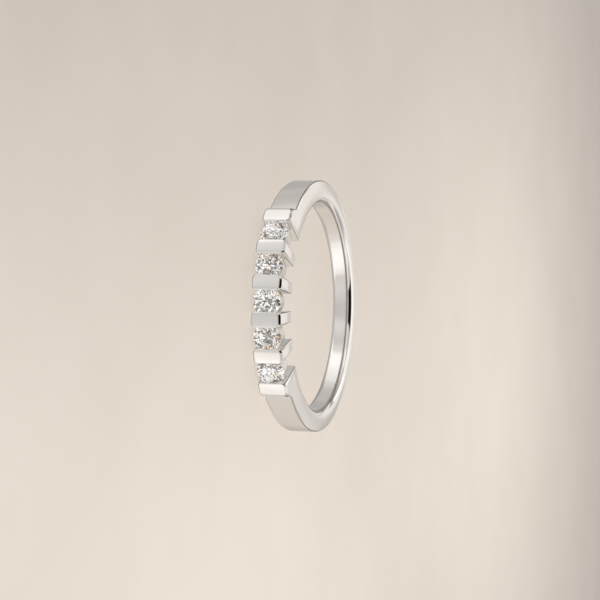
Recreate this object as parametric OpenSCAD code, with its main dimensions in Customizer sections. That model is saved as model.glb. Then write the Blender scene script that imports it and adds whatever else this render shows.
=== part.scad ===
// Bar-set half eternity ring: a tapered shank, cross bars and round brilliants held between them.
// The ring lies on its side. The finger hole runs along Z, and the setting faces -Y.

/* [Finger hole] */
// Inner diameter of the ring
bore_d = 17.2; // [16:0.1:19]
// Radius of the softened edges of the finger hole
inner_edge_r = 0.5; // [0.3:0.02:0.56]

/* [Shank] */
// Thickness of the metal at the back of the finger
back_t = 1; // [0.9:0.05:1.3]
// Thickness that the shank's outer circle reaches at the middle of the setting
front_t = 2.55; // [2.4:0.05:2.7]
// Width at the back of the finger
back_w = 1.8; // [1.6:0.05:2.2]
// Width at the top of the middle bars
front_w = 2.5; // [2.4:0.02:2.6]
// Chamfer of the two outer edges
outer_edge = 0.07; // [0.04:0.01:0.1]

/* [Bars] */
// Number of round stones, each between two bars
stone_count = 5; // [3:1:7]
// Angle from one stone to the next, seen along the finger hole
pitch = 14.55; // [14.25:0.05:15.5]
// Thickness of a bar at its top, along the row
bar_t = 1.22; // [1.12:0.02:1.3]
// Thickness of the two end bars at their tops
end_bar_t = 1.26; // [1.26:0.02:1.5]
// Height of the bars' tops over the shank's outer circle at the middle of the setting
bar_raise = 0.6; // [0.45:0.05:0.65]
// Angle between a bar's walls and its axis, which makes the bar thinner towards the finger
bar_taper = 3.4; // [0.2:0.2:3.8]
// Angle of the end bars' inner walls, beside the first and the last stone
end_taper = 7.4; // [3.4:0.2:7.8]
// Angle of the end bars' outer walls, which slope out and run down into the shank
shoulder_slope = 36; // [30:1:40]
// Radius of a bar's two edges across the finger hole
bar_foot_r = 0.25; // [0.15:0.02:0.31]
// Radius of a bar's four upright corners
bar_corner_r = 0.27; // [0.11:0.02:0.35]
// Chamfer across the two ends of a bar's top
bar_end_edge = 0.14; // [0.1:0.02:0.2]
// Chamfer along the two long sides of a bar's top
bar_side_edge = 0.07; // [0.04:0.01:0.1]

/* [Stones] */
// Diameter of a stone
stone_d = 2.3; // [2.15:0.05:2.3]
// Width of the table, across its corners, as a share of the diameter
table_share = 0.57; // [0.52:0.01:0.62]
// Slope of the crown's main facets
crown_slope = 34.5; // [32:0.5:36]
// Slope of the pavilion's main facets
pavilion_slope = 40.75; // [40:0.25:42]
// Thickness of the girdle at its thickest
girdle_t = 0.08; // [0.06:0.01:0.1]
// Depth of the girdle's middle below the bars' tops
girdle_depth = 0.39; // [0.38:0.01:0.5]
// Clearance between a stone and its seat
seat_gap = 0.03; // [0.02:0.01:0.04]

/* [Cups] */
// Outer diameter of a cup at its rim, under the girdle
cup_d = 2.2; // [2.06:0.02:2.24]
// Outer diameter of a cup at its foot, towards the finger
cup_foot_d = 2.04; // [1.9:0.02:2.08]
// Depth of a cup's rim below the girdle's middle
cup_rim_depth = 0.16; // [0.14:0.01:0.2]
// Depth of a cup's foot below the girdle's middle
cup_depth = 1.35; // [1.3:0.05:1.6]
// Diameter of the round window through a cup
window_d = 1.4; // [1.2:0.05:1.5]

/* [Hidden] */
$fn = 96;

// Anything longer than this reaches clear of the ring
beyond = 20;
// Overlap that keeps a cut from ending on a face
slack = 0.5;
// Share of the soft edge's radius that it reaches along the bore and the side, a little under 1
edge_reach = 0.95;

bore_r = bore_d / 2;
// The outer circle is set towards the setting, so the metal thickens from back to front
outer_r = bore_r + (back_t + front_t) / 2;
outer_shift = (front_t - back_t) / 2;
back_y = bore_r + back_t;
top_r = bore_r + front_t + bar_raise;
seat_r = top_r - girdle_depth;
bar_count = stone_count + 1;
// What a bar has too much at its top, at its foot and over its length, and is trimmed to its place
bar_proud = 0.06;
bar_head = top_r + bar_proud;
bar_foot = bore_r - bar_proud;

// The two side faces are flat planes that close in towards the back
taper = atan((front_w - back_w) / 2 / (top_r + back_y));
function width_at(y) = back_w + 2 * (back_y - y) * tan(taper);

function stone_angle(i) = (i - (stone_count + 1) / 2) * pitch;
function bar_angle(i) = (i - (bar_count + 1) / 2) * pitch;

// Distance of a bar's wall from its axis at a height, for a wall that slopes in from the top down
function wall_at(z, half, slope) = half - (top_r - z) * tan(slope);

// A brilliant repeats eight times round its axis, and its girdle has four corners in each eighth
mains = 8;
corners = 4 * mains;
half_step = 180 / mains;
corner_step = 360 / corners;
// Share of the radius, from the culet, where the lower girdle facets end
lower_share = 0.24;

// Main heights and radii of a stone, from its girdle's middle plane
stone_r = stone_d / 2;
table_r = stone_r * table_share;
star_r = (stone_r + table_r * cos(half_step)) / 2;
lower_r = stone_r * lower_share;
table_z = girdle_t / 2 + (stone_r - table_r) * tan(crown_slope);
star_z = girdle_t / 2 + (stone_r - star_r * cos(half_step)) * tan(crown_slope);
lower_z = -girdle_t / 2 - (stone_r - lower_r * cos(half_step)) * tan(pavilion_slope);
culet_z = -girdle_t / 2 - stone_r * tan(pavilion_slope);
// Steepest slopes of crown and pavilion, at the facets that meet the girdle
upper_slope = atan((star_z - girdle_t / 2) / (stone_r - star_r));
lower_slope = atan((-girdle_t / 2 - lower_z) / (stone_r - lower_r));
// The girdle dips between its corners, where its flat facets meet the round outline
scallop = stone_r * (1 - cos(corner_step));

function on_circle(count, r, z, start = 0) =
    [for (k = [0:count - 1]) [r * cos(start + 360 * k / count), r * sin(start + 360 * k / count), z]];

// Corners of the girdle's upper or lower rim, each second one in by the dip of its facet's plane
function girdle_points(side, slope) =
    [for (k = [0:corners - 1]) let (dip = k % 2 == 0 ? 0 : scallop * tan(slope), a = k * corner_step)
        [stone_r * cos(a), stone_r * sin(a), side * (girdle_t / 2 - dip)]];

// Round brilliant: table up along +Z, girdle in the plane z = 0
module brilliant() {
    // Number of the first point of each ring of points, from the table down to the culet
    star = mains;
    upper = 2 * mains;
    lower = upper + corners;
    half = lower + corners;
    culet = half + mains;
    points = concat(
        on_circle(mains, table_r, table_z),
        on_circle(mains, star_r, star_z, half_step),
        girdle_points(1, upper_slope),
        girdle_points(-1, lower_slope),
        on_circle(mains, lower_r, lower_z, half_step),
        [[0, 0, culet_z]]);
    eighths = [0:mains - 1];
    function next(k) = (k + 1) % mains;
    function last(k) = (k + mains - 1) % mains;
    function corner(ring, k) = ring + k % corners;
    faces = concat(
        // table, star facets, crown mains and upper girdle facets
        [[for (k = eighths) mains - 1 - k]],
        [for (k = eighths) [k, next(k), star + k]],
        [for (k = eighths) [k, star + k, upper + 4 * k, star + last(k)]],
        [for (k = eighths) [star + k, corner(upper, 4 * k + 2), corner(upper, 4 * k + 1), upper + 4 * k]],
        [for (k = eighths)
            [star + k, corner(upper, 4 * k + 4), corner(upper, 4 * k + 3), corner(upper, 4 * k + 2)]],
        // girdle
        [for (k = [0:corners - 1])
            [upper + k, corner(upper, k + 1), corner(lower, k + 1), lower + k]],
        // lower girdle facets and pavilion mains
        [for (k = eighths) [half + k, lower + 4 * k, corner(lower, 4 * k + 1), corner(lower, 4 * k + 2)]],
        [for (k = eighths)
            [half + k, corner(lower, 4 * k + 2), corner(lower, 4 * k + 3), corner(lower, 4 * k + 4)]],
        [for (k = eighths) [culet, half + last(k), lower + 4 * k, half + k]]);
    polyhedron(points, faces);
}

// Puts a child that points up +Z at a radius and an angle of the setting, pointing outwards
module outwards(angle, r) {
    rotate([0, 0, angle]) translate([0, -r, 0]) rotate([90, 0, 0]) children();
}

// Everything between the two tapering side faces
module between_sides() {
    rotate([90, 0, 90]) linear_extrude(2 * beyond, center = true) polygon([
        [-beyond, -width_at(-beyond) / 2], [beyond, -width_at(beyond) / 2],
        [beyond, width_at(beyond) / 2], [-beyond, width_at(-beyond) / 2]]);
}

// Puts a ring-shaped cut at both side faces, with z = 0 on the face, about a centre at y
module at_both_sides(y) {
    for (side = [0, 1]) mirror([0, 0, side])
        translate([0, y, width_at(y) / 2]) rotate([-taper, 0, 0]) children();
}

// Section outside the soft inner edge; the arc crosses bore and side at a slight angle
module inner_edge_section() {
    reach = edge_reach * inner_edge_r;
    difference() {
        translate([bore_r - slack, -reach]) square([slack + reach, reach + slack]);
        translate([bore_r + reach, -reach]) circle(inner_edge_r);
    }
}

module outer_edge_section() {
    polygon([[outer_r - outer_edge - slack, slack], [outer_r + slack, slack],
        [outer_r + slack, -outer_edge - slack]]);
}

// The wedge of the ring that the setting fills
module setting_sector() {
    half = bar_angle(bar_count);
    linear_extrude(beyond, center = true) polygon([[0, 0],
        [-beyond * sin(half), -beyond * cos(half)], [beyond * sin(half), -beyond * cos(half)]]);
}

module shank() {
    difference() {
        translate([0, -outer_shift, 0]) cylinder(h = beyond, r = outer_r, center = true);
        at_both_sides(-outer_shift) rotate_extrude() outer_edge_section();
        setting_sector();
    }
}

// Plan of a bar, seen from outside the ring; its ends are trimmed by the side faces
module bar_plan(low, high, length) {
    inset = length / 2 - bar_corner_r;
    translate([low, -inset]) square([high - low, 2 * inset]);
    translate([low + bar_corner_r, -length / 2]) square([high - low - 2 * bar_corner_r, length]);
    for (x = [low + bar_corner_r, high - bar_corner_r], y = [-inset, inset])
        translate([x, y]) circle(bar_corner_r);
}

// Outline of a bar across the ring, with both top corners cut off
module end_outline(width, edge) {
    x = width / 2 - edge - bar_proud;
    polygon([[-width / 2, bore_r - slack], [width / 2, bore_r - slack], [width / 2, top_r - edge],
        [x, bar_head], [-x, bar_head], [-width / 2, top_r - edge]]);
}

// Half of a bar's outline along the row, from its axis to a wall that slopes in from the top down
module half_outline(half, slope) {
    centre_z = bar_foot + bar_foot_r;
    centre_x = wall_at(centre_z, half, slope) - bar_foot_r / cos(slope);
    polygon([[-slack, bar_foot], [centre_x, bar_foot],
        [centre_x + bar_foot_r * cos(slope), centre_z - bar_foot_r * sin(slope)],
        [wall_at(top_r - bar_side_edge, half, slope), top_r - bar_side_edge],
        [half - bar_side_edge - bar_proud, bar_head], [-slack, bar_head]]);
    translate([centre_x, centre_z]) circle(bar_foot_r);
}

// The same for an end bar's outer half, whose wall slopes out into the shank
module shoulder_outline(half) {
    polygon([[-slack, bar_foot], [wall_at(bar_foot, half, -shoulder_slope), bar_foot],
        [wall_at(top_r - bar_side_edge, half, -shoulder_slope), top_r - bar_side_edge],
        [half - bar_side_edge - bar_proud, bar_head], [-slack, bar_head]]);
}

// A bar stands square to the ring; an end bar's outer wall is its shoulder
module bar(i) {
    end = i == 1 || i == bar_count;
    half = bar_t / 2;
    outer_half = end ? end_bar_t - half : half;
    outermost = end ? wall_at(bar_foot, outer_half, -shoulder_slope) + slack : half;
    length = width_at(-top_r * cos(bar_angle(i)));
    outwards(bar_angle(i), 0) mirror([i == bar_count ? 1 : 0, 0, 0]) intersection() {
        translate([0, 0, bore_r - slack]) linear_extrude(top_r)
            bar_plan(-outermost, half, length + bar_proud);
        rotate([90, 0, 90]) linear_extrude(beyond, center = true)
            end_outline(length + slack, bar_end_edge + slack / 2);
        rotate([90, 0, 0]) linear_extrude(beyond, center = true) {
            half_outline(half, end ? end_taper : bar_taper);
            mirror([1, 0]) if (end) shoulder_outline(outer_half); else half_outline(half, bar_taper);
        }
    }
}

module cup(i) {
    outwards(stone_angle(i), seat_r - cup_depth)
        cylinder(h = cup_depth - cup_rim_depth, d1 = cup_foot_d, d2 = cup_d);
}

// Seat cut for a stone: its own outline with clearance, and the window below it
module seat(i) {
    r = stone_r + seat_gap;
    window_r = window_d / 2;
    edge_z = girdle_t / 2 + seat_gap;
    top_z = edge_z + (r - table_r) * tan(upper_slope);
    outwards(stone_angle(i), seat_r) rotate_extrude() polygon([
        [0, -cup_depth - slack], [window_r, -cup_depth - slack],
        [window_r, -edge_z - (r - window_r) * tan(lower_slope)],
        [r, -edge_z], [r, edge_z], [table_r, top_z], [0, top_z]]);
}

module band() {
    color([0.86, 0.85, 0.83]) difference() {
        intersection() {
            between_sides();
            cylinder(h = beyond, r = top_r, center = true);
            union() {
                shank();
                for (i = [1:bar_count]) bar(i);
                for (i = [1:stone_count]) cup(i);
            }
        }
        cylinder(h = beyond, r = bore_r, center = true);
        at_both_sides(0) rotate_extrude() inner_edge_section();
        for (i = [1:stone_count]) seat(i);
    }
}

module stone(i) {
    color([0.9, 0.94, 0.97]) outwards(stone_angle(i), seat_r) brilliant();
}

band();
for (i = [1:stone_count]) stone(i);
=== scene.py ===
"""Half eternity ring in polished white metal, with five round brilliants between six cross bars.

The ring lies on its side: the finger hole runs along Z and the setting faces -Y. The camera stands
low over the floor and is rolled, so that the row of stones is upright in the picture. Sizes are
millimetres and degrees, the same as in part.scad, and each mesh is written in metres.
"""

import math
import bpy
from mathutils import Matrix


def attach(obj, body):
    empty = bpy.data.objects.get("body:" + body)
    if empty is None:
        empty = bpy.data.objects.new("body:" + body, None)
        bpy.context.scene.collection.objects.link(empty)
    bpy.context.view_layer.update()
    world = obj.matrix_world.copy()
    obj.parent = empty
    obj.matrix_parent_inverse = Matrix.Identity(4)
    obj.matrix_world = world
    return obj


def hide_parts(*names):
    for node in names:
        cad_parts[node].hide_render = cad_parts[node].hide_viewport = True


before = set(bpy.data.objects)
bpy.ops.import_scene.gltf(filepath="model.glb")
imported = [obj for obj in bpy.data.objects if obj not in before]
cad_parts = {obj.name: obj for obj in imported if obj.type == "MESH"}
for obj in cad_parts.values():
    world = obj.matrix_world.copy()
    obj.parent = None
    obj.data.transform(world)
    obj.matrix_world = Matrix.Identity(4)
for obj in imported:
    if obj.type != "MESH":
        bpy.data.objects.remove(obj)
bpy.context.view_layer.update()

from types import SimpleNamespace

import bpy
from mathutils import Matrix, Vector

MM = 0.001

# Sizes of the solids

BORE_R = 8.6  # finger hole
BACK_T, FRONT_T = 1.0, 2.55  # thickness of the shank at the back and in the middle of the setting
BACK_W, FRONT_W = 1.8, 2.5  # width of the ring at the same places
BAR_RAISE = 0.6  # how far the bars stand proud of the shank

OUTER_R = BORE_R + (BACK_T + FRONT_T) / 2  # outer circle of the shank
OUTER_SHIFT = (FRONT_T - BACK_T) / 2  # how far that circle is set towards the setting
TOP_R = BORE_R + FRONT_T + BAR_RAISE  # tops of the bars
WIDENING = (FRONT_W - BACK_W) / 2 / (TOP_R + BORE_R + BACK_T)  # gain of half the width for each mm
HALF_WIDTH = BACK_W / 2 + WIDENING * (BORE_R + BACK_T)  # half the width at the ring's axis

STONES = 5
BARS = STONES + 1
PITCH = 14.55  # from one bar to the next, and from stone to stone
BAR_T = 1.22  # at the tops, and less towards the finger
END_BAR_T = 1.26  # an end bar's, thicker on its outer side
BAR_TAPER = 3.4  # slope of a bar's walls
END_TAPER = 7.4  # slope of the end bars' inner walls
SHOULDER_SLOPE = 36  # slope of their outer walls, down into the shank
BAR_CHAMFER = 0.16  # across the two ends of a bar's top
BAR_FOOT_R = 0.25  # a bar's two edges across the finger hole
INNER_EDGE_R = 0.5  # comfort edge of the finger hole

GIRDLE_DEPTH = 0.39  # from the tops of the bars down to the middle of a girdle
SEAT_R = TOP_R - GIRDLE_DEPTH
STONE_R = 1.15
TABLE_R = 0.57 * STONE_R
GIRDLE_HALF = 0.04  # half a girdle's height
CROWN_SLOPE = 40.56  # steepest slope of the crown, which the seat follows
PAVILION_SLOPE = 41.42  # steepest slope of the pavilion
SEAT_GAP = 0.03  # between a stone and its seat, all round
CUP_R = 1.1  # outside of a cup at its rim
CUP_FOOT_R = 1.02  # and at its foot
CUP_RIM = 0.16  # depth of the rim under the middle of the girdle
CUP_DEPTH = 1.35  # depth of the foot under the same
WINDOW_R = 0.7  # the cup's opening to the finger

# Softness that the polish leaves on the edges, and what else the dressed metal adds

SHANK_EDGE_R = 0.14  # outer edges of the shank
BAR_LONG_EDGE_R = 0.09  # long edges of a bar's top
SHOULDER_EDGE_R = 0.18  # the end bars' long edges above the shank
CHAMFER_EDGE_R = 0.03  # both edges of the chamfer across a bar's end
BAR_CORNER_R = 0.32  # upright corners of a bar at its top
FOOT_CORNER_R = 0.12  # the same corners towards the finger, where they are filed less
SQUARE_R = 0.02  # corners of an end bar inside the shank
WAIST_R = 10.9  # level, from the axis, at which an end bar's outer wall goes into the shank
CUP_EDGE_R = 0.06  # the cup's two edges towards the finger
RIM_BREAK = 0.006  # the cup's outer rim edge, only just broken
HIDDEN_STEP = 0.004  # an end bar lies this far under the shank's skin where both fill one place
SHARP_ANGLE = 32  # faces that meet at more than this keep a sharp line between them

# Steps that the curves are drawn in

SHANK_STEPS = 300  # round the ring
INNER_STEPS = 10  # over each inner edge of the shank
OUTER_STEPS = 6  # over each outer edge
EDGE_STEPS = 9  # over an edge of a bar
CORNER_STEPS = 8  # round a bar's upright corner
ROW_STEPS = 12  # across a bar's top between its corners
CUP_STEPS = 96  # round a cup or a seat
CUP_EDGE_STEPS = 6  # over an edge of a cup


# Mesh helpers

def piece_from(name, points, faces, material):
    """A mesh object from points in millimetres."""
    mesh = bpy.data.meshes.new(name)
    mesh.from_pydata([Vector(p) * MM for p in points], [], faces)
    mesh.validate()
    mesh.materials.append(material)
    mesh.shade_smooth()
    piece = bpy.data.objects.new(name, mesh)
    bpy.context.scene.collection.objects.link(piece)
    return piece


def loft(rings, close_ends=True, close_round=False):
    """Points and faces that join equal rings of points in order."""
    count = len(rings[0])
    points = [p for ring in rings for p in ring]
    faces = []
    for k in range(len(rings) if close_round else len(rings) - 1):
        a, b = k * count, (k + 1) % len(rings) * count
        faces += [(a + i, a + (i + 1) % count, b + (i + 1) % count, b + i) for i in range(count)]
    if close_ends and not close_round:
        last = (len(rings) - 1) * count
        faces.append(tuple(reversed(range(count))))
        faces.append(tuple(range(last, last + count)))
    return points, faces


def arc(centre, radius, start, end, steps):
    """Points of an arc in a section, angles in degrees, both ends included."""
    angles = [math.radians(start + (end - start) * k / steps) for k in range(steps + 1)]
    return [(centre[0] + radius * math.cos(a), centre[1] + radius * math.sin(a)) for a in angles]


def outward(angle):
    """Unit vector from the ring's axis at an angle from -Y, negative towards -X."""
    a = math.radians(angle)
    return Vector((math.sin(a), -math.cos(a), 0))


def along(angle):
    """Unit vector along the row at the same place."""
    a = math.radians(angle)
    return Vector((math.cos(a), math.sin(a), 0))


def half_width(y):
    """Half the ring's width at a place, wider towards the setting."""
    return HALF_WIDTH - WIDENING * y


# Shank

def outer_radius(angle):
    """Distance from the ring's axis to the shank's outer circle."""
    lead = OUTER_SHIFT * math.cos(math.radians(angle))
    return lead + math.sqrt(lead * lead - OUTER_SHIFT ** 2 + OUTER_R ** 2)


def shank_section(angle):
    """Closed section of the shank in (radius, z): flat bore, soft edges and flat sides."""
    lean = WIDENING * math.cos(math.radians(angle))
    tilt = math.degrees(math.atan(lean))
    side = math.sqrt(1 + lean * lean)
    outer = outer_radius(angle)

    def side_z(radius, inset):
        return HALF_WIDTH + lean * radius - inset * side

    inner_c, outer_c = BORE_R + INNER_EDGE_R, outer - SHANK_EDGE_R
    upper = arc((inner_c, side_z(inner_c, INNER_EDGE_R)), INNER_EDGE_R, 180, 90 + tilt, INNER_STEPS)
    upper += arc((outer_c, side_z(outer_c, SHANK_EDGE_R)), SHANK_EDGE_R, 90 + tilt, 0, OUTER_STEPS)
    return upper + [(r, -z) for r, z in reversed(upper)]


def shank():
    """The shank, from the middle of one end bar round the back to the middle of the other."""
    first = (BARS - 1) / 2 * PITCH
    rings = []
    for k in range(SHANK_STEPS + 1):
        angle = first + (360 - 2 * first) * k / SHANK_STEPS
        out = outward(angle)
        rings.append([out * r + Vector((0, 0, z)) for r, z in shank_section(angle)])
    return loft(rings)


# Bars

def bar_angle(i):
    """Place of a bar round the ring, counted from 1 at -X."""
    return (i - (BARS + 1) / 2) * PITCH


def soft_edge(radius, steps):
    """Soft edge as pairs (inset, drop) from the wall to the flat face above it."""
    turn = [math.radians(90 * k / steps) for k in range(steps + 1)]
    return [(radius * (1 - math.cos(t)), radius * (1 - math.sin(t))) for t in turn]


def chamfered_edge(leg, radius, steps):
    """A 45 degree chamfer with both its edges softened, as pairs (inset, drop)."""
    reach = radius * math.tan(math.radians(22.5))
    half = steps // 2
    turn = [math.radians(45 * k / half) for k in range(half + 1)]
    pairs = [(radius * (1 - math.cos(t)), leg + reach - radius * math.sin(t)) for t in turn]
    return pairs + [(drop, inset) for inset, drop in reversed(pairs)]


def bar_ring(half, half_w, edge_u, edge_w, corner_r, sunk_side):
    """Plan of a bar at one step of an edge, as (u, w, drop): a rectangle with round corners.

    The two long sides have an edge and a corner radius each. A side that is sunk in the shank keeps
    the height of the ends, so it stays under the shank's skin.
    """
    inset_w, drop_w = edge_w
    ring = []
    for quadrant, (su, sw) in enumerate(((1, 1), (-1, 1), (-1, -1), (1, -1))):
        inset_u, drop_u = edge_u[su]
        r = corner_r[su]
        ru, rw = max(r - inset_u, SQUARE_R), max(r - inset_w, SQUARE_R)
        cu, cw = su * (half[su] - inset_u - ru), sw * (half_w - inset_w - rw)
        for k in range(CORNER_STEPS + 1):
            a = math.radians(90 * (quadrant + k / CORNER_STEPS))
            c, s = math.cos(a), math.sin(a)
            drop = drop_w if su == sunk_side else drop_u * c * c + drop_w * s * s
            ring.append((cu + ru * c, cw + rw * s, drop))
        if quadrant in (0, 2):
            far_inset = edge_u[-su][0]
            far = -su * (half[-su] - far_inset - max(corner_r[-su] - far_inset, SQUARE_R))
            for k in range(1, ROW_STEPS):
                ring.append((cu + (far - cu) * k / ROW_STEPS, sw * (half_w - inset_w), drop_w))
    return ring


def bar(i):
    """One bar with soft edges, whose walls slope and whose ends follow the ring's tapering sides.

    Its top follows the circle of the tops and its foot the finger hole, so both are made of strips.
    """
    angle = bar_angle(i)
    outer_side = -1 if i == 1 else 1 if i == BARS else 0
    hidden = HIDDEN_STEP if outer_side else 0
    half = {side: END_BAR_T - BAR_T / 2 if side == outer_side else BAR_T / 2 for side in (-1, 1)}
    slope = {side: -SHOULDER_SLOPE if side == outer_side else END_TAPER if outer_side else BAR_TAPER
             for side in (-1, 1)}
    half_w = half_width(-TOP_R * math.cos(math.radians(angle)))
    out, row = outward(angle), along(angle)

    def placed(edge_u, edge_w, level, rises, corner_r):
        line = []
        for u, w, drop in bar_ring(half, half_w, edge_u, edge_w, corner_r, outer_side if rises else 0):
            lift = drop if rises else -drop
            side = 1 if u > 0 else -1
            narrowing = math.tan(math.radians(slope[side])) / half[side]
            shifted = u * (1 - (TOP_R - math.sqrt(level * level - u * u) - lift) * narrowing)
            flat = row * shifted + out * (math.sqrt(level * level - shifted * shifted) + lift)
            line.append(flat + Vector((0, 0, w * (half_width(flat.y) - hidden) / half_w)))
        return line

    def edges(long_r, end_edge):
        """Steps of the edges round a flat face: the two long sides' and the ends' side by side."""
        long = {side: soft_edge(long_r[side], EDGE_STEPS) for side in (-1, 1)}
        return [({side: long[side][k] for side in (-1, 1)}, end_edge[k]) for k in range(EDGE_STEPS + 1)]

    foot = edges({-1: BAR_FOOT_R, 1: BAR_FOOT_R}, soft_edge(INNER_EDGE_R, EDGE_STEPS))
    top = edges({side: SHOULDER_EDGE_R if side == outer_side else BAR_LONG_EDGE_R for side in (-1, 1)},
                chamfered_edge(BAR_CHAMFER, CHAMFER_EDGE_R, EDGE_STEPS))
    low_r = {side: SQUARE_R if side == outer_side else FOOT_CORNER_R for side in (-1, 1)}
    top_r = {side: BAR_CORNER_R for side in (-1, 1)}
    rings = [placed(u, w, BORE_R + hidden, True, low_r) for u, w in reversed(foot)]
    if outer_side:
        square = (0, 0)
        rings.append(placed({-1: square, 1: square}, square, WAIST_R, True, low_r))
    rings += [placed(u, w, TOP_R, False, top_r) for u, w in top]
    points, faces = loft(rings, close_ends=False)
    count, last = len(rings[0]), (len(rings) - 1) * len(rings[0])
    half_count = count // 2  # the points k and count - 1 - k face each other across the bar
    for k in range(half_count - 1):
        across = (k, count - 1 - k, count - 2 - k, k + 1)
        faces.append(across)
        faces.append(tuple(last + n for n in reversed(across)))
    return points, faces


# Cups and seats

def stone_angle(i):
    """Place of a stone round the ring, halfway between its two bars."""
    return (i - (STONES + 1) / 2) * PITCH


def lathe(section, angle, steps):
    """A closed section in (radius, height) turned about a stone's axis; height 0 is its girdle."""
    out, row = outward(angle), along(angle)
    up = Vector((0, 0, 1))
    rings = []
    for k in range(steps):
        a = 2 * math.pi * k / steps
        spoke = row * math.cos(a) + up * math.sin(a)
        rings.append([out * (SEAT_R + h) + spoke * r for r, h in section])
    return loft(rings, close_round=True)


def seat_height(radius):
    """Height of the seat's cone under the pavilion."""
    edge = GIRDLE_HALF + SEAT_GAP
    return -edge - (STONE_R + SEAT_GAP - radius) * math.tan(math.radians(PAVILION_SLOPE))


def cup_section():
    """Section of a cup in (radius, height): rim, tapered wall, round foot and the stone's cone."""
    r = CUP_EDGE_R
    cone_drop = CUP_RIM - GIRDLE_HALF - SEAT_GAP
    rim_in = STONE_R + SEAT_GAP - cone_drop / math.tan(math.radians(PAVILION_SLOPE))
    section = [(rim_in, -CUP_RIM), (CUP_R - RIM_BREAK, -CUP_RIM), (CUP_R, -CUP_RIM - RIM_BREAK)]
    section += arc((CUP_FOOT_R - r, -CUP_DEPTH + r), r, 0, -90, CUP_EDGE_STEPS)
    section += arc((WINDOW_R + r, -CUP_DEPTH + r), r, -90, -180, CUP_EDGE_STEPS)
    return section + [(WINDOW_R, seat_height(WINDOW_R))]


def seat_section():
    """What the stone's seat and its window take out of the bars, up to the axis."""
    edge_r, edge = STONE_R + SEAT_GAP, GIRDLE_HALF + SEAT_GAP
    top = edge + (edge_r - TABLE_R) * math.tan(math.radians(CROWN_SLOPE))
    core, foot = 0.05, -CUP_DEPTH - 0.5  # a hole along the axis and a foot, both clear of the bars
    return [(core, foot), (WINDOW_R, foot), (WINDOW_R, seat_height(WINDOW_R)), (edge_r, -edge),
            (edge_r, edge), (TABLE_R, top), (core, top)]


def apply_modifiers(piece):
    """Replaces the piece's mesh by what its modifiers make of it."""
    graph = bpy.context.evaluated_depsgraph_get()
    done = bpy.data.meshes.new_from_object(piece.evaluated_get(graph))
    piece.modifiers.clear()
    piece.data = done


def join_meshes(parts):
    """One list of points and one of faces from several pairs of them."""
    points, faces = [], []
    for part_points, part_faces in parts:
        start = len(points)
        points += part_points
        faces += [tuple(start + k for k in face) for face in part_faces]
    return points, faces


def under_stones(section):
    """The same turned form under each of the stones, as one mesh."""
    return join_meshes([lathe(section, stone_angle(i), CUP_STEPS) for i in range(1, STONES + 1)])


def cut_bars(material, seat_material):
    """The six bars with the five seats cut into them, whose faces take the seats' material."""
    bars = piece_from("bars_cut", *join_meshes([bar(i) for i in range(1, BARS + 1)]), material)
    seats = piece_from("seats", *under_stones(seat_section()), seat_material)
    cut = bars.modifiers.new("seats", "BOOLEAN")
    cut.operation, cut.solver, cut.object = "DIFFERENCE", "EXACT", seats
    cut.material_mode = "TRANSFER"
    apply_modifiers(bars)
    bpy.data.objects.remove(seats)
    return bars


# Pieces in place of the solid of the metal

def polished_band():
    """Shank and bars in one mesh, in place of their solid. The seats keep their own dull metal, painted
    dark brown as shade.
    """
    metal, seat_metal = white_gold(), painted_shade_seat_metal()
    bars = cut_bars(metal, seat_metal)
    points = [tuple(v.co / MM) for v in bars.data.vertices]
    faces = [tuple(p.vertices) for p in bars.data.polygons]
    in_seat = [bars.data.materials[p.material_index] == seat_metal for p in bars.data.polygons]
    bpy.data.objects.remove(bars)
    band = piece_from("polished_band", *join_meshes([shank(), (points, faces)]), metal)
    band.data.materials.append(seat_metal)
    # The bars' faces come last in the joined mesh
    for face, seated in zip(reversed(band.data.polygons), reversed(in_seat)):
        face.material_index = int(seated)
    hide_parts("band")
    return band


def satin_cups():
    """The cups under the stones, which the polishing wheel can't reach."""
    return piece_from("satin_cups", *under_stones(cup_section()), satin_white_gold())


def shade_evenly(piece):
    """Smooth shading that the large faces set, with sharp lines where the metal has them."""
    piece.data.set_sharp_from_angle(angle=math.radians(SHARP_ANGLE))
    soften = piece.modifiers.new("even_shading", "WEIGHTED_NORMAL")
    soften.keep_sharp = True


# Materials

NOISE_LOW, NOISE_HIGH = 0.3, 0.7  # most of a noise pattern lies between these


def linear(hex_colour):
    """An sRGB hex colour as the linear values that shaders take."""
    def channel(text):
        c = int(text, 16) / 255
        return c / 12.92 if c <= 0.04045 else ((c + 0.055) / 1.055) ** 2.4
    h = hex_colour.lstrip("#")
    return tuple(channel(h[k:k + 2]) for k in (0, 2, 4)) + (1.0,)


def add(tree, kind, settings=None, **links):
    """A node with its settings and links.

    A setting is the node's own, or a colour ramp's easing or its stops as (place, colour). A link has
    its socket's name, with _ for a space, or its number as i0, i1 and so on. A node given there stands
    for its first output, and a plain value is set on the socket.
    """
    node = tree.nodes.new(kind)
    for key, value in (settings or {}).items():
        if key == "easing":
            node.color_ramp.interpolation = value
        elif key == "stops":
            elements = node.color_ramp.elements
            while len(elements) < len(value):
                elements.new(0.5)
            for element, (position, colour) in zip(elements, value):
                element.position, element.color = position, colour
        else:
            setattr(node, key, value)
    for key, value in links.items():
        socket = node.inputs[int(key[1:]) if key[1:].isdigit() else key.replace("_", " ")]
        if isinstance(value, bpy.types.Node):
            value = value.outputs[0]
        if isinstance(value, bpy.types.NodeSocket):
            tree.links.new(value, socket)
        else:
            socket.default_value = value
    return node


def shades(low, high):
    """Settings for a colour ramp that follows a noise pattern from one hex colour to another."""
    return {"stops": [(NOISE_LOW, linear(low)), (NOISE_HIGH, linear(high))]}


def new_material(name):
    material = bpy.data.materials.new(name)
    material.use_nodes = True
    material.node_tree.nodes.clear()
    return material, material.node_tree


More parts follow.
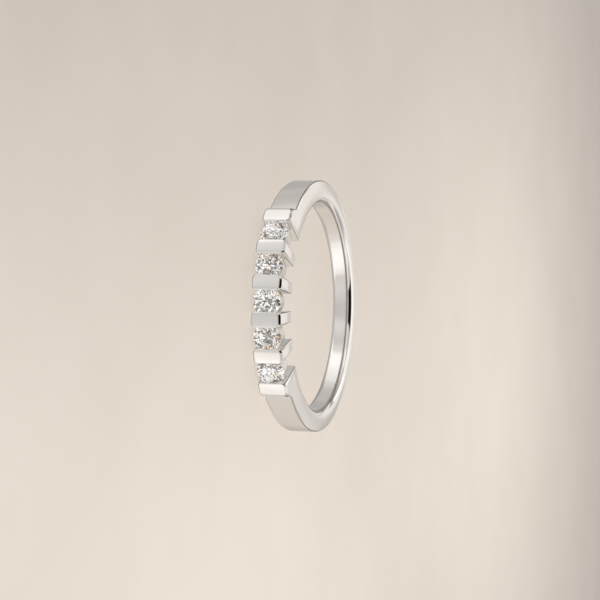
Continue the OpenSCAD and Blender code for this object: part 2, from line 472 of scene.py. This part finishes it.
def white_gold():
    """White gold with a hard bright plating, cast, filed and polished by hand on a soft wheel.

    The wheel leaves the flats a little wavy, and the finest wiping marks blur the mirror unevenly.
    """
    haze_size, wave_size, wave_depth = 1.6 * MM, 2.2 * MM, 0.02 * MM
    material, tree = new_material("polished_white_gold")
    place = add(tree, "ShaderNodeTexCoord").outputs["Object"]
    haze = add(tree, "ShaderNodeTexNoise", Vector=place, Scale=1 / haze_size, Detail=3.0)
    tone = add(tree, "ShaderNodeValToRGB", shades("#EFEDEA", "#F3F1EE"), Fac=haze)
    roughness = add(tree, "ShaderNodeMapRange", Value=haze, From_Min=NOISE_LOW, From_Max=NOISE_HIGH,
                    To_Min=0.05, To_Max=0.08)
    wave = add(tree, "ShaderNodeTexNoise", Vector=place, Scale=1 / wave_size, Detail=1.0)
    bump = add(tree, "ShaderNodeBump", Strength=0.06, Distance=wave_depth, Height=wave)
    shader = add(tree, "ShaderNodeBsdfPrincipled", Base_Color=tone, Metallic=1.0, Roughness=roughness,
                 Normal=bump)
    add(tree, "ShaderNodeOutputMaterial", Surface=shader)
    return material


def satin_white_gold():
    """The same metal where the wheel can't reach: fine filed satin, so the cups look plain and pale.

    The grain is drawn coarser than a file's, so that it shows.
    """
    grain_size = 0.5 * MM
    material, tree = new_material("satin_white_gold")
    place = add(tree, "ShaderNodeTexCoord").outputs["Object"]
    grain = add(tree, "ShaderNodeTexNoise", Vector=place, Scale=1 / grain_size, Detail=3.0)
    # Painted shade: this tone is a little darker than the polished metal's, for the cups' place under
    # the stones and between the bars
    tone = add(tree, "ShaderNodeValToRGB", shades("#E4E1DD", "#EAE7E3"), Fac=grain)
    roughness = add(tree, "ShaderNodeMapRange", Value=grain, From_Min=NOISE_LOW, From_Max=NOISE_HIGH,
                    To_Min=0.30, To_Max=0.38)
    shader = add(tree, "ShaderNodeBsdfPrincipled", Base_Color=tone, Metallic=1.0, Roughness=roughness)
    add(tree, "ShaderNodeOutputMaterial", Surface=shader)
    return material


def painted_shade_seat_metal():
    """The seats under the stones, dull as the cutter left them, and painted dark brown as the shade that
    falls under the stones.

    Through the stones this painted shade shows as small brown patches beside the bars.
    """
    mark_size = 0.3 * MM
    material, tree = new_material("white_gold_seat_painted_shade")
    place = add(tree, "ShaderNodeTexCoord").outputs["Object"]
    marks = add(tree, "ShaderNodeTexNoise", Vector=place, Scale=1 / mark_size, Detail=3.0)
    # Painted shade: these dark brown tones stand in for the shade under the stones and beside the bars
    tone = add(tree, "ShaderNodeValToRGB", shades("#6A5A49", "#85735F"), Fac=marks)
    shader = add(tree, "ShaderNodeBsdfPrincipled", Base_Color=tone, Metallic=1.0, Roughness=0.4)
    add(tree, "ShaderNodeOutputMaterial", Surface=shader)
    return material


def diamond():
    """Colourless cut diamond, ground and polished flat on each facet.

    Each patch of about a facet's size has a painted warm or cold tint, which stands in for the stone's
    fire. A ray that has been turned round many times inside the stone ends in a painted glow: pale, or
    in a few patches a dark brown painted shade.
    """
    facet_size = 0.55 * MM
    many_turns, brown_share = 4.5, 0.13
    material, tree = new_material("cut_diamond")
    place = add(tree, "ShaderNodeTexCoord").outputs["Object"]
    cells = add(tree, "ShaderNodeTexVoronoi", Vector=place, Scale=1 / facet_size)
    draw = add(tree, "ShaderNodeSeparateColor", Color=cells.outputs["Color"])
    # Painted light: warm and cold tints in the base colour stand in for the stone's fire
    painted_fire = add(tree, "ShaderNodeValToRGB", {"stops": [
        (0.0, linear("#FFE9CC")), (0.12, linear("#FFFFFF")), (0.86, linear("#FFFFFF")),
        (1.0, linear("#DCEAFF"))]}, Fac=draw.outputs["Red"])
    shader = add(tree, "ShaderNodeBsdfPrincipled", Base_Color=painted_fire, Roughness=0.0, IOR=2.417,
                 Transmission_Weight=1.0)
    # Painted light: a ray past many turns ends in a glow, pale, or dark brown painted shade in a few
    # patches
    painted_deep_light = add(tree, "ShaderNodeValToRGB", {"easing": "CONSTANT", "stops": [
        (0.0, linear("#504235")), (brown_share, linear("#F3F1ED"))]}, Fac=draw.outputs["Green"])
    painted_glow = add(tree, "ShaderNodeEmission", Color=painted_deep_light, Strength=1.0)
    deep = add(tree, "ShaderNodeMath", {"operation": "GREATER_THAN"},
               i0=add(tree, "ShaderNodeLightPath").outputs["Ray Depth"], i1=many_turns)
    mixed = add(tree, "ShaderNodeMixShader", Fac=deep, i1=shader, i2=painted_glow)
    add(tree, "ShaderNodeOutputMaterial", Surface=mixed)
    return material


def pale_plaster():
    """Pale warm plaster, trowelled smooth: matt, with faint clouds about a centimetre wide."""
    cloud_size = 12 * MM
    material, tree = new_material("pale_plaster")
    place = add(tree, "ShaderNodeTexCoord").outputs["Object"]
    clouds = add(tree, "ShaderNodeTexNoise", Vector=place, Scale=1 / cloud_size, Detail=4.0)
    tone = add(tree, "ShaderNodeValToRGB", shades("#F2E9DE", "#F6EEE4"), Fac=clouds)
    shader = add(tree, "ShaderNodeBsdfPrincipled", Base_Color=tone, Roughness=0.9,
                 Specular_IOR_Level=0.2)
    add(tree, "ShaderNodeOutputMaterial", Surface=shader)
    return material


# Light tones and shares of light

def grey(level, warmth=0.0):
    """A light of one level, warmer for a positive warmth."""
    return (level * (1 + warmth), level, level * (1 - warmth), 1.0)


def tinted(level, hex_colour):
    """A light of one level in a colour."""
    return tuple(level * c for c in linear(hex_colour)[:3]) + (1.0,)


def between(value, low, high):
    """0 up to low and 1 from high, with a smooth step; the other way round if low is above high."""
    tree = value.id_data
    step = add(tree, "ShaderNodeMapRange", {"interpolation_type": "SMOOTHSTEP"}, Value=value,
               From_Min=min(low, high), From_Max=max(low, high))
    if low < high:
        return step
    return add(tree, "ShaderNodeMath", {"operation": "SUBTRACT"}, i0=1.0, i1=step)


def all_of(first, *others):
    """1 where all the shares are 1."""
    for other in others:
        first = add(first.id_data, "ShaderNodeMath", {"operation": "MULTIPLY"}, i0=first, i1=other)
    return first


def lay(light, tone, *shares):
    """A light with a tone or another light laid over it, as far as the shares say."""
    return add(light.id_data, "ShaderNodeMix", {"data_type": "RGBA"}, Factor=all_of(*shares), i6=light,
               i7=tone).outputs[2]


def directions(tree):
    """The way that a ray looks, away from the ring, and what is worked out from it.

    x, y and z are the parts of its unit vector, and side is how far x is from 0. rise goes from 0
    straight down to 1 straight up. turn goes round the ring's axis: 0.5 towards -Y, less towards -X
    and more towards +X.
    """
    way = add(tree, "ShaderNodeTexCoord").outputs["Generated"]
    parts = add(tree, "ShaderNodeSeparateXYZ", Vector=way)
    x, y, z = parts.outputs["X"], parts.outputs["Y"], parts.outputs["Z"]
    side = add(tree, "ShaderNodeMath", {"operation": "ABSOLUTE"}, i0=x)
    rise = add(tree, "ShaderNodeMath", {"operation": "MULTIPLY_ADD"}, i0=z, i1=0.5, i2=0.5)
    forward = add(tree, "ShaderNodeMath", {"operation": "MULTIPLY"}, i0=y, i1=-1.0)
    angle = add(tree, "ShaderNodeMath", {"operation": "ARCTAN2"}, i0=x, i1=forward)
    turn = add(tree, "ShaderNodeMath", {"operation": "MULTIPLY_ADD"}, i0=angle, i1=0.5 / math.pi, i2=0.5)
    return SimpleNamespace(tree=tree, way=way, x=x, y=y, z=z, side=side, rise=rise, turn=turn)


def share_along(sky, direction):
    """How much of a ray's way goes along a direction, from -1 to 1."""
    return add(sky.tree, "ShaderNodeVectorMath", {"operation": "DOT_PRODUCT"}, i0=sky.way,
               i1=Vector(direction).normalized()).outputs["Value"]


def near(sky, direction, inner, outer):
    """1 within an angle of a direction and 0 beyond a wider one."""
    share = share_along(sky, direction)
    return between(share, math.cos(math.radians(outer)), math.cos(math.radians(inner)))


def across(sky, direction, inner, outer):
    """1 on a strip that runs all round, square to a direction, and 0 beside it.

    The angles are half the strip's width without and with its soft edges.
    """
    off = add(sky.tree, "ShaderNodeMath", {"operation": "ABSOLUTE"}, i0=share_along(sky, direction))
    return between(off, math.sin(math.radians(outer)), math.sin(math.radians(inner)))


def by_height(sky, rows):
    """Light that changes with the height, from rows of (degrees above level, level, warmth)."""
    stops = [((math.sin(math.radians(degrees)) + 1) / 2, grey(level, warmth))
             for degrees, level, warmth in rows]
    return add(sky.tree, "ShaderNodeValToRGB", {"stops": stops}, Fac=sky.rise)


def by_turn(sky, rows):
    """Light that changes round the ring's axis, from rows of (degrees from -Y, level, warmth)."""
    stops = [((degrees + 180) / 360, grey(level, warmth)) for degrees, level, warmth in rows]
    return add(sky.tree, "ShaderNodeValToRGB", {"easing": "EASE", "stops": stops}, Fac=sky.turn)


# Studio

def layers(sky):
    """Light and dark sheets one above the other, some in front of the ring and others behind it."""
    front = by_height(sky, [
        (-90, 0.52, 0.03), (-62, 0.50, 0.03), (-10, 0.17, 0.2), (5, 0.17, 0.2), (9, 0.50, 0.10),
        (19, 0.52, 0.10), (25, 1.02, 0.02), (90, 1.15, 0)])
    back = by_height(sky, [
        (-90, 0.60, 0.03), (-74, 0.62, 0.03), (-64, 0.42, 0.04), (-28, 0.34, 0.06), (-10, 0.14, 0.2),
        (14, 0.16, 0.2), (22, 0.42, 0.08), (42, 0.46, 0.06), (54, 1.08, 0.01), (90, 1.15, 0)])
    light = lay(front, back, between(sky.y, -0.5, 0.45))
    # Paler low behind at the right, which the far edge of the finger hole's upper half mirrors
    return lay(light, grey(0.50, 0.04), between(sky.x, 0.02, 0.2), between(sky.y, 0.0, 0.2),
               between(sky.z, -0.2, -0.3))


def dark_lines(sky, light):
    """Two dark lines level with the ring, behind and at the right, for the finger hole's edge."""
    lines = by_height(sky, [
        (-14, 0.46, 0.05), (-11, 0.48, 0.05), (-9.5, 0.03, 0.3), (2.5, 0.03, 0.3), (3.5, 0.66, 0.04),
        (5, 0.66, 0.04), (6, 0.06, 0.3), (8.5, 0.06, 0.3), (11, 0.80, 0.05), (25, 0.90, 0.04)])
    level = all_of(between(sky.z, -0.24, -0.20), between(sky.z, 0.42, 0.36))
    light = lay(light, lines, level, between(sky.y, 0.62, 0.75))
    return lay(light, lines, level, between(sky.x, 0.0, 0.1), between(sky.y, -0.5, -0.35))


def low_strips(sky, light):
    """Upright strips low down all round, which the shank and the bars mirror one after another.

    They reach far down in front, and end soon behind the ring.
    """
    strips = by_turn(sky, [
        (-180, 0.52, 0.04), (-165, 0.50, 0.04), (-152, 0.45, 0.04), (-140, 0.47, 0.04),
        (-128, 0.55, 0.04), (-118, 0.54, 0.035), (-107, 0.58, 0.03), (-98, 0.72, 0.03),
        (-88, 0.90, 0.03), (-76, 1.0, 0.02), (-66, 1.12, 0.01), (-56, 1.12, 0.01), (-48, 0.79, 0.02),
        (-38, 0.66, 0.02), (-20, 0.77, 0.02), (-6, 0.61, 0.02), (3, 0.61, 0.02), (12, 0.67, 0.02),
        (22, 0.73, 0.03), (36, 0.71, 0.05), (42, 0.97, 0.04), (50, 1.12, 0.03), (61, 1.16, 0.02),
        (68, 1.10, 0.03), (76, 1.00, 0.05), (86, 0.78, 0.06), (100, 0.68, 0.08), (140, 0.64, 0.10),
        (162, 0.49, 0.12), (180, 0.52, 0.04)])
    low_end = add(sky.tree, "ShaderNodeMix", Factor=between(sky.y, 0.1, 0.3),
                  i2=between(sky.z, -0.92, -0.84), i3=between(sky.z, -0.46, -0.38))
    return lay(light, strips, between(sky.z, -0.20, -0.235), low_end)


def side_panel(sky, light):
    """What the ring's upper side face mirrors, with a bright line along its lower edge.

    The panel is a little darker in its right half.
    """
    panel = by_height(sky, [
        (7, 0.2, 0.1), (8.5, 1.05, 0.02), (11, 1.05, 0.02), (12.3, 0.62, 0.055), (14.4, 0.62, 0.055),
        (15.0, 0.69, 0.055), (15.5, 0.80, 0.05), (16.3, 0.86, 0.045), (26, 0.92, 0.045),
        (44, 1.1, 0.02)])
    panel = lay(panel, grey(0.0), between(sky.x, -0.004, 0.015), 0.17)
    return lay(light, panel, between(sky.side, 0.36, 0.24), between(sky.y, 0.0, 0.2),
               between(sky.z, 0.11, 0.13), between(sky.z, 0.76, 0.70))


def overhead(sky, light):
    """A bright lamp, a grey card with a black slot along its middle, and a small grey card."""
    # The lamp is high at the left behind, for the bright line along the shank's near edge
    light = lay(light, grey(1.6, 0.02), near(sky, (-0.45, 0.62, 0.63), 8, 12))
    light = lay(light, grey(0.60, 0.04), between(sky.side, 0.66, 0.60), between(sky.z, 0.50, 0.58),
                between(sky.y, 0.14, 0.05))
    slot_middle = 0.035
    shifted = add(sky.tree, "ShaderNodeMath", {"operation": "SUBTRACT"}, i0=sky.x, i1=slot_middle)
    off_slot = add(sky.tree, "ShaderNodeMath", {"operation": "ABSOLUTE"}, i0=shifted)
    light = lay(light, grey(0.01), between(off_slot, 0.33, 0.27), between(sky.z, 0.37, 0.42),
                between(sky.y, -0.03, -0.10))
    return lay(light, grey(0.30, 0.05), near(sky, (-0.65, 0.10, 0.75), 3, 6))


def stone_light(sky):
    """What the stones gather: bright in front, dark strips across it, and a few coloured glints."""
    light = by_height(sky, [(-60, 0.60, 0.04), (-30, 1.14, 0.01), (50, 1.22, 0.01), (80, 0.7, 0.02)])
    light = lay(light, grey(0.70, 0.10), between(sky.y, -0.35, 0.0))
    black, brown = grey(0.025), linear("#735F4B")
    for direction, inner, outer, tone in (
            ((1.0, 0.10, 0.30), 4.5, 5.5, black), ((0.30, 0.35, 1.0), 4.5, 5.5, brown),
            ((1.0, 0.30, -0.75), 5.0, 6.0, black), ((-0.8, 0.75, 0.6), 5.0, 6.0, brown),
            ((0.7, 0.8, 0.9), 5.0, 6.0, black), ((0.1, -0.35, 1.0), 4.5, 5.5, brown)):
        light = lay(light, tone, across(sky, direction, inner, outer))
    for direction, inner, outer, tone in (
            ((0.45, -0.70, 0.55), 6, 9, tinted(1.3, "#FFC48C")),
            ((-0.40, -0.88, 0.20), 5, 8, tinted(0.45, "#FFC88D")),
            ((0.30, -0.93, -0.20), 3, 6, tinted(0.95, "#B7D3FF"))):
        light = lay(light, tone, near(sky, direction, inner, outer))
    return light


def light_tent():
    """The studio round the ring. The metal, the stones and the floor have a light of their own each."""
    world = bpy.data.worlds.new("light_tent")
    bpy.context.scene.world = world
    world.use_nodes = True
    tree = world.node_tree
    tree.nodes.clear()
    sky = directions(tree)
    light = layers(sky)
    for part in (dark_lines, low_strips, side_panel, overhead):
        light = part(sky, light)
    rays = add(tree, "ShaderNodeLightPath").outputs
    light = lay(light, stone_light(sky), rays["Is Transmission Ray"])
    light = lay(light, grey(0.34), rays["Is Diffuse Ray"])
    light = lay(light, linear("#E6DED4"), rays["Is Camera Ray"])
    background = add(tree, "ShaderNodeBackground", Color=light, Strength=1.0)
    add(tree, "ShaderNodeOutputWorld", Surface=background)


def floor(material):
    """Wide floor a hair under the ring's lower side face, which the taper tilts a little."""
    reach, gap = 1600, 0.004
    points = [(x, y, -half_width(y) - gap) for x, y in
              ((-reach, -reach), (reach, -reach), (reach, reach), (-reach, reach))]
    sheet = piece_from("floor", points, [(0, 1, 2, 3)], material)
    sheet.visible_glossy = sheet.visible_transmission = False


def soft_fill(name, place, watts):
    """A soft lamp that lights the floor only, without a shadow, so it grows paler below the lamp."""
    lamp_size = 10
    data = bpy.data.lights.new(name, "POINT")
    data.energy, data.shadow_soft_size, data.use_shadow = watts, lamp_size * MM, False
    data.color = linear("#FFFBF7")[:3]
    lamp = bpy.data.objects.new(name, data)
    lamp.location = Vector(place) * MM
    lamp.visible_glossy = lamp.visible_transmission = lamp.visible_camera = False
    bpy.context.scene.collection.objects.link(lamp)


def camera():
    """A long lens low over the ring's side face, rolled so that the row of stones is upright."""
    distance, elevation, swing, roll = 189.671, 17.891, -1.737, 1.521
    focal_px, picture_px = 2281.795, 600
    origin_px = (311.322, 306.261)  # where the middle of the ring's axis lies in the picture
    e, a, r = (math.radians(v) for v in (elevation, swing, roll))
    forward = Vector((math.cos(e) * math.sin(a), math.cos(e) * math.cos(a), -math.sin(e)))
    right = forward.cross(Vector((-1, 0, 0))).normalized()
    up = right.cross(forward)
    right, up = right * math.cos(r) + up * math.sin(r), up * math.cos(r) - right * math.sin(r)
    data = bpy.data.cameras.new("camera")
    data.sensor_width = 36
    data.lens = focal_px / picture_px * data.sensor_width
    data.shift_x = (picture_px / 2 - origin_px[0]) / picture_px
    data.shift_y = (origin_px[1] - picture_px / 2) / picture_px
    data.clip_start, data.clip_end = 0.01, 10
    shooter = bpy.data.objects.new("camera", data)
    turn = Matrix((right, up, -forward)).transposed().to_4x4()
    shooter.matrix_world = Matrix.Translation(forward * -distance * MM) @ turn
    bpy.context.scene.collection.objects.link(shooter)
    bpy.context.scene.camera = shooter


# The ring in its studio

bpy.context.scene.view_settings.view_transform = "Standard"

camera()
light_tent()
floor(pale_plaster())
soft_fill("fill_low", (36, -20, 70), 0.105)
soft_fill("fill_behind", (7, 68, 60), 0.060)
soft_fill("fill_in_front", (12, -73, 25), 0.008)

for piece in (polished_band(), satin_cups()):
    shade_evenly(piece)
    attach(piece, "root")

stone_material = diamond()
for i in range(1, STONES + 1):
    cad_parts[f"stone_{i}"].material_slots[0].material = stone_material
